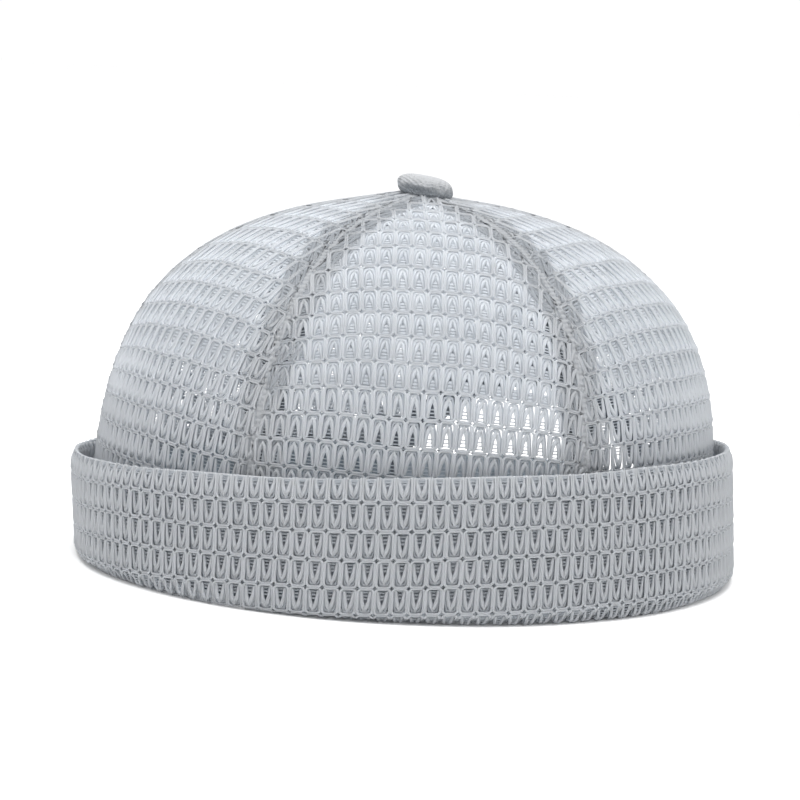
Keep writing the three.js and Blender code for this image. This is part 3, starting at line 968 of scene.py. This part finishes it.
class CAP_OT_crown(bpy.types.Operator):
    """Knit the six panels of the crown"""

    bl_idname = "cap.crown"
    bl_label = "Crown panels"

    def execute(self, context):
        sizes = context.scene.cap_sizes
        crown = Crown(sizes)
        arch = Arch()
        cells = {turned: [stitch(sizes, turned, shut) for shut in (False, True)] for turned in (False, True)}
        rows = math.ceil(crown.run[-1] / (sizes.stitch_height / MM)) + 1
        for order, (name, start, shift, turned, arched) in enumerate(PANELS):
            cloth = PanelCloth(crown, math.radians(start), arch if arched else None)
            first_across = shift[0] - (PANEL_COLUMNS // 2) * sizes.stitch_width / MM
            grid = (first_across, shift[1], PANEL_COLUMNS, rows)
            knitted(f"{name}_knit", sizes, cloth, cells[turned], grid, cap_yarn(), [name], SEED + order)
            self.seam(f"{name}_seam", crown, math.radians(start), name)
        return {"FINISHED"}

    def seam(self, name, crown, turn, node):
        """The edges of two panels pressed together down a seam, just under the knit."""
        at_back = abs(turn - math.pi) < 0.1
        start = crown.run_to_height(ARCH[-1][1] + 1) if at_back else 0
        end = crown.run_to_radius(TIP_RADIUS)
        mesh = flat_sheet(4, int((end - start) / SEAM_PITCH * 4))
        flat = read_spots(mesh)
        run = start + flat[:, 1] * (end - start)
        across = (flat[:, 0] - 0.5) * SEAM_WIDTH
        ridge = SEAM_RIDGE * np.cos(run * math.tau / SEAM_PITCH)
        turned = turn + across / crown.radius(run)
        spots = crown.face(turned, run) - crown.outwards(turned, run) * (SEAM_DEPTH - ridge)[:, None]
        # The third number is the depth that the yarn's painted shade reads: darker in the troughs and over
        # the whole seam
        flat = np.stack([across, run, ridge - SEAM_PAINTED_SHADE_DROP], axis=-1)
        band(name, mesh, flat, spots, SEAM_CLOTH, cap_yarn(), "mesh_cloth", [node])


# The cuff's knit: where its rows and columns fall, and how many rows each layer has
CUFF_FIRST_ROW = 3.1
CUFF_COLUMN_SHIFT = 1.9
CUFF_OUTER_ROWS = 7
CUFF_INNER_ROWS = 5

# Round one end of the cuff: how far past the end, and how far out from the middle of the wall
BINDING_PATH = np.array([
    (-3.2, 1.75), (-0.6, 1.9), (0.3, 1.6), (0.9, 0.8), (1.0, 0), (0.9, -0.8), (0.3, -1.6), (-0.6, -1.9),
    (-3.2, -1.75),
])
BINDING_CLOTH = 0.5
BINDING_RIDGE = 0.1
BINDING_PITCH = 1.2
BINDING_FOOT = 0.4
BINDING_BELOW_TOP = 0.3


class CAP_OT_cuff(bpy.types.Operator):
    """Knit the turned-up cuff, its outer and inner layers"""

    bl_idname = "cap.cuff"
    bl_label = "Cuff"

    def execute(self, context):
        sizes = context.scene.cap_sizes
        wide = sizes.stitch_width / MM
        high = sizes.stitch_height / MM
        cloth = CuffCloth(Crown(sizes))
        cells = [stitch(sizes, True, shut) for shut in (False, True)]
        columns = int(2 * cloth.along[-1] / wide)
        first_across = CUFF_COLUMN_SHIFT - (columns - 1) / 2 * wide
        first_outer = -CUFF_FIRST_ROW - (CUFF_OUTER_ROWS - 1) * high
        outer = (first_across, first_outer, columns, CUFF_OUTER_ROWS)
        inner = (first_across, high - CUFF_FIRST_ROW, columns, CUFF_INNER_ROWS)
        knitted("cuff_outer_knit", sizes, cloth, cells, outer, cap_yarn(), ["cuff"], SEED + 20)
        knitted("cuff_inner_knit", sizes, cloth, cells, inner, cap_yarn(), ["cuff"], SEED + 21)
        for name, side in (("cuff_binding_left", 1), ("cuff_binding_right", -1)):
            self.binding(name, cloth, side)
        return {"FINISHED"}

    def binding(self, name, cloth, side):
        """The strip that closes one end of the cuff."""
        mesh = flat_sheet(16, 150)
        flat = read_spots(mesh)
        share = flat[:, 0] if side > 0 else 1 - flat[:, 0]
        path = runs(BINDING_PATH)
        wanted = share * path[-1]
        beyond = np.interp(wanted, path, BINDING_PATH[:, 0])
        out = np.interp(wanted, path, BINDING_PATH[:, 1])
        turn = cloth.turn_at(side * cloth.along[-1]) + side * beyond / cloth.crown.half_length
        tall = cloth.height(turn) - BINDING_BELOW_TOP
        height = BINDING_FOOT + flat[:, 1] * (tall - BINDING_FOOT)
        lean = cloth.lean(turn)
        middle = CUFF_FOLD_OUT + lean + (CUFF_SPREAD - lean) * (1 - height / tall)
        ridge = BINDING_RIDGE * np.cos(height * math.tau / BINDING_PITCH)
        spots = cloth.crown.plan(turn, middle + out + np.sign(out) * ridge, height)
        flat = np.stack([height, wanted, ridge], axis=-1)
        band(name, mesh, flat, spots, BINDING_CLOTH, cap_tape(), "tape", ["cuff"])


def flat_sheet(columns, rows):
    """A flat grid of cloth, across and up each from 0 to 1."""
    sheet = bmesh.new()
    bmesh.ops.create_grid(sheet, x_segments=columns, y_segments=rows, size=0.5)
    bmesh.ops.translate(sheet, verts=sheet.verts, vec=(0.5, 0.5, 0))
    mesh = bpy.data.meshes.new("sheet")
    sheet.to_mesh(mesh)
    sheet.free()
    return mesh


def band(name, mesh, flat, spots, thickness, material, slot, nodes):
    """A band of cloth from a flat sheet laid on its spots, thickened inwards."""
    keep_flat_place(mesh, flat)
    write_spots(mesh, spots)
    piece = finished(name, mesh, material, slot, *nodes)
    solid = piece.modifiers.new("thickness", "SOLIDIFY")
    solid.thickness = thickness * MM
    solid.offset = -1
    return piece


# One small stitch of the topstitching, as yarn takes it, and the pitch of the stitches
THREAD = [(-1.1, 0, -0.15, 0.42), (-0.7, 0, 0.12, 0.42), (0.7, 0, 0.12, 0.42), (1.1, 0, -0.15, 0.42)]
TOPSTITCH = 2.8


def sewn(name, reach, rows, height, place):
    """Rows of topstitching: one small stitch of thread repeated and laid by place."""
    mesh = tiled(yarn(THREAD, False), int(reach / TOPSTITCH), rows, TOPSTITCH, height)
    flat = read_spots(mesh) + (TOPSTITCH / 2, 0, 0)
    keep_flat_place(mesh, flat)
    write_spots(mesh, place(flat))
    finished(name, mesh, sewing_thread(), "plain_cloth", "back_strap")


# The tapes over the seams: the turn of each in degrees and the height of its foot
SEAM_TAPES = (
    ("seam_tape_front", 0, 5),
    ("seam_tape_front_left", 60, 5),
    ("seam_tape_back_left", 120, 5),
    ("seam_tape_back", 180, 54),
    ("seam_tape_back_right", 240, 5),
    ("seam_tape_front_right", 300, 5),
)
TAPE_TIP_RADIUS = 4

# How much less than the crown's radius a seam tape's is, the least gap between two tapes where they narrow
# near the button, and how far the opening's tape lies from its edge
TAPE_INSET = 2
TAPE_APART = 0.6
ARCH_TAPE_EDGE = 0.3

# Round the edge of the opening, from its inside: how far into the cloth and how deep in the wall
EDGE_PATH = np.array([
    (2.2, 3.1), (0.4, 3.2), (-0.4, 2.7), (-0.8, 1.6), (-0.5, 0.4), (0.4, -0.3), (2.2, -0.25),
])
EDGE_CLOTH = 0.4
EDGE_RIDGE = 0.1


class CAP_OT_tapes(bpy.types.Operator):
    """Lay the tapes over the seams and round the opening at the back"""

    bl_idname = "cap.tapes"
    bl_label = "Tapes"

    def execute(self, context):
        sizes = context.scene.cap_sizes
        crown = Crown(sizes)
        rib = sizes.rib_width / MM
        for name, angle, foot in SEAM_TAPES:
            start = crown.run_to_height(foot)
            end = crown.run_to_radius(TAPE_TIP_RADIUS)
            mesh = flat_sheet(8, int((end - start) / rib) * 3)
            flat = read_spots(mesh)
            run = start + flat[:, 1] * (end - start)
            radius = crown.radius(run) - TAPE_INSET
            width = np.minimum(sizes.tape_width / MM, math.pi * radius / 3 - TAPE_APART)
            across = (flat[:, 0] - 0.5) * width
            turn = math.radians(angle) + across / radius
            ridge = TAPE_RIDGE * np.cos(run * math.tau / rib)
            spots = crown.face(turn, run) - crown.outwards(turn, run) * (TAPE_DEPTH - ridge)[:, None]
            flat = np.stack([run, across, ridge], axis=-1)
            band(f"{name}_cloth", mesh, flat, spots, TAPE_CLOTH, cap_tape(), "tape", [name])
        self.round_arch("opening_tape_cloth", crown, rib, 6, TAPE_CLOTH, self.tape_section)
        self.round_arch("opening_edge_cloth", crown, rib, 12, EDGE_CLOTH, self.edge_section)
        return {"FINISHED"}

    def tape_section(self, share, rib_wave):
        """The tape beside the opening: how far into the cloth, how deep, and the same in the flat."""
        across = ARCH_TAPE_EDGE + share * ARCH_TAPE_WIDTH
        ridge = TAPE_RIDGE * rib_wave
        return across, TAPE_DEPTH - ridge, across, ridge

    def edge_section(self, share, rib_wave):
        """The strip that is folded over the edge of the opening, in the same way."""
        path = runs(EDGE_PATH)
        wanted = share * path[-1]
        ridge = EDGE_RIDGE * rib_wave
        across = np.interp(wanted, path, EDGE_PATH[:, 0]) + ridge
        return across, np.interp(wanted, path, EDGE_PATH[:, 1]), wanted, ridge

    def round_arch(self, name, crown, rib, rows, thickness, section):
        """A strip that runs round the arched opening, with a section across it."""
        arch = Arch()
        foot = ARCH_FOOT_POINTS - 1
        line = arch.points[foot:-foot]
        side = arch.to_cloth[foot:-foot]
        along = runs(line)
        mesh = flat_sheet(int(along[-1] / rib) * 3, rows)
        flat = read_spots(mesh)
        run = flat[:, 0] * along[-1]
        edge = np.stack([np.interp(run, along, line[:, axis]) for axis in (0, 1)], axis=-1)
        away = unit(np.stack([np.interp(run, along, side[:, axis]) for axis in (0, 1)], axis=-1))
        across, depth, flat_across, ridge = section(flat[:, 1], np.cos(run * math.tau / rib))
        spot = edge + away * across[:, None]
        spots = crown.back_wall(spot[:, 0], spot[:, 1], depth)
        flat = np.stack([run, flat_across, ridge], axis=-1)
        band(name, mesh, flat, spots, thickness, cap_tape(), "tape", ["opening_tape"])


class CAP_OT_sweatband(bpy.types.Operator):
    """Lay the ribbed sweatband inside the rim"""

    bl_idname = "cap.sweatband"
    bl_label = "Sweatband"

    def execute(self, context):
        sizes = context.scene.cap_sizes
        crown = Crown(sizes)
        rib = sizes.rib_width / MM
        low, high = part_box("sweatband")
        bottom = low.z / MM + SWEATBAND_ROOM
        tall = (high.z - low.z) / MM - 2 * SWEATBAND_ROOM
        mesh = flat_sheet(160, round(tall / rib * 5))
        flat = read_spots(mesh)
        turn = (flat[:, 0] * 2 - 1) * SWEATBAND_END
        height = bottom + flat[:, 1] * tall
        ridge = SWEATBAND_RIDGE * np.cos(height * math.tau / rib)
        spots = crown.beside(turn, SWEATBAND_OUT + ridge, height)
        flat = np.stack([height, turn * crown.half_length, ridge], axis=-1)
        tint = context.scene.cap_colours.band
        material = material_once("ribbed_band", ribbed_material, tint, math.tau / rib)
        band("sweatband_cloth", mesh, flat, spots, SWEATBAND_CLOTH, material, "ribbed_band", ["sweatband"])
        return {"FINISHED"}


# The halves of the strap: name, the turns it runs between in degrees, and how far out its outer face lies
STRAP_HALVES = (
    ("back_strap_right_half", 143, 190, 1.4),
    ("back_strap_left_half", 166, 217, 2.3),
)
STRAP_CLOTH = 0.8
STRAP_SEAM = 1.7

# The keeper's loop: how far out from the crown's foot it lies inside and outside, and how square it is
KEEPER_HALF_LENGTH = 13.4
KEEPER_CLOTH = 0.9
KEEPER_INSIDE = -0.6
KEEPER_OUTSIDE = 3.6
KEEPER_ROOM = 0.1
KEEPER_SQUARE = 0.22


class CAP_OT_strap(bpy.types.Operator):
    """Lay the two halves of the strap across the opening, sew them, and put the keeper round them"""

    bl_idname = "cap.strap"
    bl_label = "Strap and keeper"

    def execute(self, context):
        crown = Crown(context.scene.cap_sizes)
        tint = context.scene.cap_colours.plain
        material = material_once("plain_cloth", woven_material, tint, 0.6, 0.00015)
        for name, first, last, out in STRAP_HALVES:
            self.half(name, crown, math.radians(first), math.radians(last), out, material)
        self.keeper(crown, material)
        return {"FINISHED"}

    def half(self, name, crown, start, end, out, material):
        """One half of the strap, and a row of topstitching along each of its edges."""
        low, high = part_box("back_strap")
        bottom = low.z / MM
        tall = (high.z - low.z) / MM
        mesh = flat_sheet(60, 12)
        flat = read_spots(mesh)
        turn = start + flat[:, 0] * (end - start)
        height = bottom + flat[:, 1] * tall
        spots = crown.beside(turn, out, height)
        flat = np.stack([turn * crown.half_length, height, height * 0], axis=-1)
        band(name, mesh, flat, spots, STRAP_CLOTH, material, "plain_cloth", ["back_strap"])

        def on_strap(flat):
            """Where the flat topstitching goes on this half."""
            turn = start + flat[:, 0] / crown.half_length
            return crown.beside(turn, out + flat[:, 2], bottom + STRAP_SEAM + flat[:, 1])

        reach = (end - start) * crown.half_length
        sewn(f"{name}_topstitching", reach, 2, tall - 2 * STRAP_SEAM, on_strap)

    def keeper(self, crown, material):
        """The loop of cloth that holds both halves of the strap."""
        low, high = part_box("strap_keeper")
        bottom = low.z / MM + KEEPER_ROOM
        top = high.z / MM - KEEPER_ROOM
        turns = np.linspace(math.pi, 3 * math.pi, 1200)
        waves = np.stack([np.cos(turns), np.sin(turns)])
        cosine, sine = np.sign(waves) * np.abs(waves) ** KEEPER_SQUARE
        out = (KEEPER_INSIDE + KEEPER_OUTSIDE) / 2 + (KEEPER_OUTSIDE - KEEPER_INSIDE) / 2 * cosine
        height = (bottom + top) / 2 + (top - bottom) / 2 * sine
        along = runs(np.stack([out, height], axis=-1))
        mesh = flat_sheet(24, 72)
        flat = read_spots(mesh)
        wanted = flat[:, 1] * along[-1]
        across = (flat[:, 0] * 2 - 1) * KEEPER_HALF_LENGTH
        turn = math.pi + across / crown.half_width
        spots = crown.beside(turn, np.interp(wanted, along, out), np.interp(wanted, along, height))
        flat = np.stack([across, wanted, across * 0], axis=-1)
        band("strap_keeper_cloth", mesh, flat, spots, KEEPER_CLOTH, material, "plain_cloth", ["strap_keeper"])


# The button, in millimetres; its rim is the share of its height at which it is widest
BUTTON_RADIUS = 8.3
BUTTON_HEIGHT = 5.6
BUTTON_SEAT = 109.5
BUTTON_RIM = 0.38
BUTTON_SIDE = (0.42, 0.3)
BUTTON_LEAN_TURN = math.radians(116)

# The dent in its side with the pinch over it, and the lumps all round: each one's share of the rise with how
# far it reaches from there, and its depth or height in millimetres
DENT_TURN = math.radians(8)
DENT_WIDTH = math.radians(26)
DENT_RISE = (0.2, 0.16)
DENT = 1.3
PINCH_WIDTH = math.radians(34)
PINCH_RISE = (0.47, 0.1)
PINCH = 0.25
LUMPS = 0.3

# The small pit in its top: where it lies and how wide it is, each way, and its depth
PIT_ACROSS = (0.6, 1.5)
PIT_BACK = (-2.6, 0.7)
PIT_DEPTH = 0.9


def near(values, middle, width):
    """How near values are to a middle, from 1 there to almost 0 past two widths."""
    return np.exp(-((values - middle) / width) ** 2)


class CAP_OT_button(bpy.types.Operator):
    """Make the cloth-covered button on top: a low dome with a pinched rim, a dent and a pit"""

    bl_idname = "cap.button"
    bl_label = "Top button"

    def execute(self, context):
        ball = bmesh.new()
        bmesh.ops.create_uvsphere(ball, u_segments=120, v_segments=64, radius=1)
        mesh = bpy.data.meshes.new("button")
        ball.to_mesh(mesh)
        ball.free()
        spots = read_spots(mesh)
        turn = np.arctan2(spots[:, 0], -spots[:, 1])
        level = np.clip(spots[:, 2], -1, 1)
        round_share = np.hypot(spots[:, 0], spots[:, 1])
        reach = round_share ** 0.62
        above = BUTTON_RIM + (1 - BUTTON_RIM) * np.maximum(level, 0) ** 0.85
        below = BUTTON_RIM * (1 - 1.6 * np.maximum(-level, 0) ** 0.7)
        rise = np.where(level > 0, above, below)
        from_dent = (turn - DENT_TURN + math.pi) % math.tau - math.pi
        dent = near(from_dent, 0, DENT_WIDTH) * near(rise, *DENT_RISE)
        pinch = near(from_dent, 0, PINCH_WIDTH) * near(rise, *PINCH_RISE)
        side = near(rise, *BUTTON_SIDE)
        lumps = side * (np.sin(turn * 13 + 5 * rise) * 0.6 + np.sin(turn * 7 - 6 * rise + 1) * 0.4)
        radius = BUTTON_RADIUS * reach - (DENT * dent - LUMPS * lumps - PINCH * pinch) * (level < 0.98)
        x = radius * np.sin(turn)
        y = -radius * np.cos(turn)
        pit = near(x, *PIT_ACROSS) * near(y, *PIT_BACK) * (level > 0)
        lean = context.scene.cap_sizes.button_lean
        over = x * math.sin(BUTTON_LEAN_TURN) - y * math.cos(BUTTON_LEAN_TURN)
        lift = (BUTTON_RADIUS - over) * math.sin(lean)
        z = BUTTON_SEAT + BUTTON_HEIGHT * rise + lift - PIT_DEPTH * pit
        flat_run = np.arccos(level) * BUTTON_RADIUS
        # Painted shade, handed to the material as the cloth's third number: darker low down the side, in the
        # dent and in the pit, lighter on the lumps
        shade = rise - 0.35 * dent + 0.1 * lumps - 0.3 * pit
        flat = np.stack([flat_run * np.sin(turn), flat_run * np.cos(turn), shade], axis=-1)
        keep_flat_place(mesh, flat)
        middle = plan_middle()
        write_spots(mesh, np.stack([x + middle.x, y + middle.y, z], axis=-1))
        colours = context.scene.cap_colours
        material = material_once("button_mesh", button_material, colours.button, colours.button_side_painted_shade)
        finished("top_button_cloth", mesh, material, "mesh_cloth", "top_button")
        return {"FINISHED"}


# The camera, in millimetres from the middle of the cap's plan, and what it is aimed at
CAMERA_AZIMUTH = math.radians(26.1)
CAMERA_AWAY = 899
CAMERA_UP = 161.8
AIM_UP = 48.3
AIM_LEFT = 4.0
CAMERA_ROLL = math.radians(3.17)
LENS = 135.3

# Lights: name, place in metres, which way it shines, size in metres and power in watts
LIGHTS = (
    ("overhead", (0.1, -0.2, 1.5), (-0.1, 0.2, -1.5), 1.2, 22.0),
    ("inside", (0, 0, 0.045), (0, 0, 1), 0.12, 0.16),
)
WORLD_STRENGTH = 1.02
FLOOR_HALF_WIDTH = 6


class CAP_OT_stage(bpy.types.Operator):
    """Set up the camera, the lights and the pale floor"""

    bl_idname = "cap.stage"
    bl_label = "Stage"

    def execute(self, context):
        scene = context.scene
        scene.view_settings.view_transform = "Standard"
        self.camera(scene)
        self.floor(scene)
        self.lights(scene)
        return {"FINISHED"}

    def camera(self, scene):
        """The camera at the photograph's angle."""
        camera = bpy.data.cameras.new("camera")
        camera.lens = LENS
        camera.sensor_width = 36
        camera.clip_start = 0.05
        camera.clip_end = 20
        holder = bpy.data.objects.new("camera", camera)
        scene.collection.objects.link(holder)
        sine = math.sin(CAMERA_AZIMUTH)
        cosine = math.cos(CAMERA_AZIMUTH)
        middle = plan_middle()
        middle.z = 0
        spot = middle + Vector((sine * CAMERA_AWAY, -cosine * CAMERA_AWAY, CAMERA_UP))
        aim = middle + Vector((-AIM_LEFT * cosine, -AIM_LEFT * sine, AIM_UP))
        look = (aim - spot).to_track_quat("-Z", "Y")
        holder.location = spot * MM
        holder.rotation_mode = "QUATERNION"
        holder.rotation_quaternion = look @ Quaternion((0, 0, 1), CAMERA_ROLL)
        scene.camera = holder

    def floor(self, scene):
        """The pale floor that the cap stands on."""
        shader = Shader("pale_floor")
        place = shader.object_place()
        patch = shader.noise(place, 3.0, 2.0)
        base = shader.mixed(patch, (0.97, 0.97, 0.97, 1), (1.0, 1.0, 1.0, 1))
        material = shader.finish({"Base Color": base, "Roughness": 0.9, "Specular IOR Level": 0.1})
        ground = bmesh.new()
        bmesh.ops.create_grid(ground, x_segments=1, y_segments=1, size=FLOOR_HALF_WIDTH)
        mesh = bpy.data.meshes.new("floor")
        ground.to_mesh(mesh)
        ground.free()
        mesh.materials.append(material)
        piece = bpy.data.objects.new("floor", mesh)
        scene.collection.objects.link(piece)

    def lights(self, scene):
        """Soft light from all round and above, and a little from inside the crown."""
        world = bpy.data.worlds.new("studio")
        world.use_nodes = True
        background = world.node_tree.nodes["Background"]
        background.inputs["Color"].default_value = (1.0, 1.0, 1.0, 1)
        background.inputs["Strength"].default_value = WORLD_STRENGTH
        scene.world = world
        for name, spot, aim, size, power in LIGHTS:
            lamp = bpy.data.lights.new(name, "AREA")
            lamp.size = size
            lamp.energy = power
            holder = bpy.data.objects.new(name, lamp)
            holder.visible_camera = False
            holder.location = spot
            holder.rotation_mode = "QUATERNION"
            holder.rotation_quaternion = Vector(aim).to_track_quat("-Z", "Y")
            scene.collection.objects.link(holder)


class CAP_PT_panel(bpy.types.Panel):
    """The cap's steps and settings"""

    bl_idname = "CAP_PT_panel"
    bl_label = "Mesh cap"
    bl_space_type = "VIEW_3D"
    bl_region_type = "UI"
    bl_category = "Cap"

    def draw(self, context):
        for step in STEPS:
            self.layout.operator(step.bl_idname)
        for settings in (context.scene.cap_sizes, context.scene.cap_colours):
            for name in settings.bl_rna.properties.keys():
                if name not in ("rna_type", "name"):
                    self.layout.prop(settings, name)


STEPS = (
    CAP_OT_stage, CAP_OT_crown, CAP_OT_cuff, CAP_OT_tapes, CAP_OT_sweatband, CAP_OT_strap, CAP_OT_button,
)
CLASSES = (CapSizes, CapColours, *STEPS, CAP_PT_panel)


def register():
    for made in CLASSES:
        bpy.utils.register_class(made)
    bpy.types.Scene.cap_sizes = bpy.props.PointerProperty(type=CapSizes)
    bpy.types.Scene.cap_colours = bpy.props.PointerProperty(type=CapColours)


def unregister():
    del bpy.types.Scene.cap_sizes
    del bpy.types.Scene.cap_colours
    for made in reversed(CLASSES):
        bpy.utils.unregister_class(made)


def main():
    """Builds every piece, in order."""
    register()
    for step in STEPS:
        family, verb = step.bl_idname.split(".")
        getattr(getattr(bpy.ops, family), verb)()


if __name__ == "__main__":
    main()
